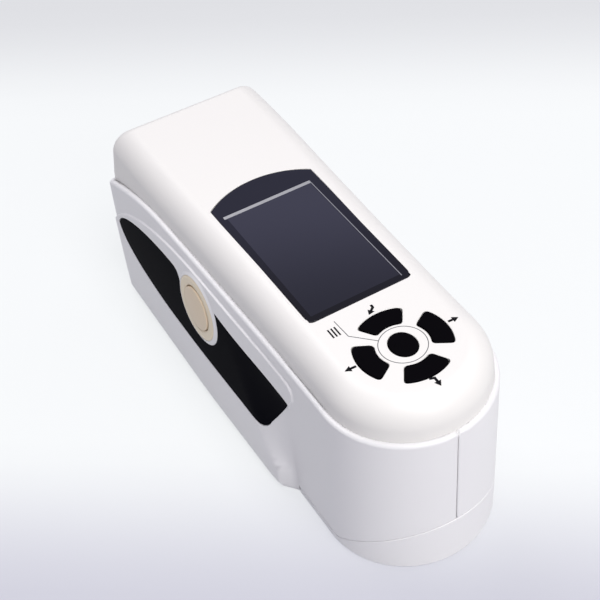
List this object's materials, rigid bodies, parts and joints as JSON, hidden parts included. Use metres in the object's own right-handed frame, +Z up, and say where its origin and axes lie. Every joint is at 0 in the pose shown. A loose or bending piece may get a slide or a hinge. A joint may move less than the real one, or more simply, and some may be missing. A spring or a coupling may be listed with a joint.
{
  "type": "portable colorimeter",
  "caption": "Hand-held colorimeter with a rounded nose, flared grip, side test button, display window, ring of keys and a pull-off calibration cap.",
  "frame": {"origin": "centre of the footprint's bounding box, on the surface that the instrument stands on", "axes": "+X along the body towards the round nose, +Z up through the display, -Y towards the side with the test button"},
  "size_m": [0.205, 0.0812, 0.086],
  "materials": {
    "cover_white": "fine satin moulding",
    "shell_white": "fine satin moulding",
    "inlay_black": "smooth, slightly glossy",
    "key_black": "matte",
    "gold": "champagne, fine brushed",
    "window": "polished, dark border printed behind",
    "display": "polished",
    "silicone": "matte",
    "board": "solder mask",
    "chip": "moulded",
    "tin": "tin plated",
    "screw_steel": "plain",
    "inner_black": "fine texture",
    "inner_white": "diffuse white",
    "cell_blue": "shrink sleeve",
    "glass": "polished",
    "tile_white": "glazed",
    "ring_aluminium": "satin"
  },
  "bodies": {
    "housing": {"left_shell": "shell_white", "right_shell": "shell_white", "left_inlay": "inlay_black", "right_inlay": "inlay_black", "side_screw_1": "screw_steel", "side_screw_2": "screw_steel", "side_screw_3": "screw_steel", "side_screw_4": "screw_steel", "rear_panel": "inner_black", "rear_board": "board", "usb_socket": "tin", "dc_socket": "chip", "power_switch_body": "tin", "button_ring": "gold", "test_switch": "chip", "switch_board": "board", "top_cover": "cover_white", "screen_lens": "window", "display_gasket": "silicone", "display_panel": "display", "display_tray": "tin", "keypad_mat": "silicone", "dome_sheet": "screw_steel", "key_board": "board", "key_board_screw_1": "screw_steel", "key_board_screw_2": "screw_steel", "key_board_screw_3": "screw_steel", "key_board_screw_4": "screw_steel", "base_plate": "inner_black", "battery_pack": "cell_blue", "contact_front": "tin", "contact_rear": "tin", "chassis": "inner_black", "main_board": "board", "shield_can": "tin", "processor": "chip", "board_connector": "inner_white", "buzzer": "chip", "nose_base": "inner_black", "aperture_ring": "ring_aluminium", "aperture_glass": "glass", "head_lower": "inner_white", "head_upper": "inner_white", "lamp_board": "board", "head_screw_1": "screw_steel", "head_screw_2": "screw_steel", "sensor_tube": "inner_black", "sensor_lens": "glass", "sensor_board": "board"},
    "key_rear": {"key_rear": "key_black"},
    "key_right": {"key_right": "key_black"},
    "key_front": {"key_front": "key_black"},
    "key_left": {"key_left": "key_black"},
    "key_centre": {"key_centre": "key_black"},
    "test_button": {"test_button": "gold"},
    "power_slider": {"power_slider": "key_black"},
    "cap": {"calibration_cap": "shell_white", "white_tile": "tile_white"},
    "battery_door": {"battery_door": "inner_black"}
  },
  "joints": [
    {"name": "key_rear_press", "type": "slide", "parent": "housing", "child": "key_rear", "axis": [0, 0, -1], "range_m": [0, 0.0008], "stiffness_N_per_m": 1500, "springref_m": -0.0005},
    {"name": "key_right_press", "type": "slide", "parent": "housing", "child": "key_right", "axis": [0, 0, -1], "range_m": [0, 0.0008], "stiffness_N_per_m": 1500, "springref_m": -0.0005},
    {"name": "key_front_press", "type": "slide", "parent": "housing", "child": "key_front", "axis": [0, 0, -1], "range_m": [0, 0.0008], "stiffness_N_per_m": 1500, "springref_m": -0.0005},
    {"name": "key_left_press", "type": "slide", "parent": "housing", "child": "key_left", "axis": [0, 0, -1], "range_m": [0, 0.0008], "stiffness_N_per_m": 1500, "springref_m": -0.0005},
    {"name": "key_centre_press", "type": "slide", "parent": "housing", "child": "key_centre", "axis": [0, 0, -1], "range_m": [0, 0.0008], "stiffness_N_per_m": 1500, "springref_m": -0.0005},
    {"name": "test_press", "type": "slide", "parent": "housing", "child": "test_button", "axis": [-0.0262, 0.9951, -0.0956], "range_m": [0, 0.0015], "stiffness_N_per_m": 1500, "springref_m": -0.0005},
    {"name": "power_slide", "type": "slide", "parent": "housing", "child": "power_slider", "axis": [0, 1, 0], "range_m": [0, 0.0034]},
    {"name": "cap_pull", "type": "slide", "parent": "housing", "child": "cap", "axis": [0, 0, -1], "range_m": [0, 0.024]},
    {"name": "door_slide", "type": "slide", "parent": "housing", "child": "battery_door", "axis": [-1, 0, 0], "range_m": [0, 0.008]}
  ]
}
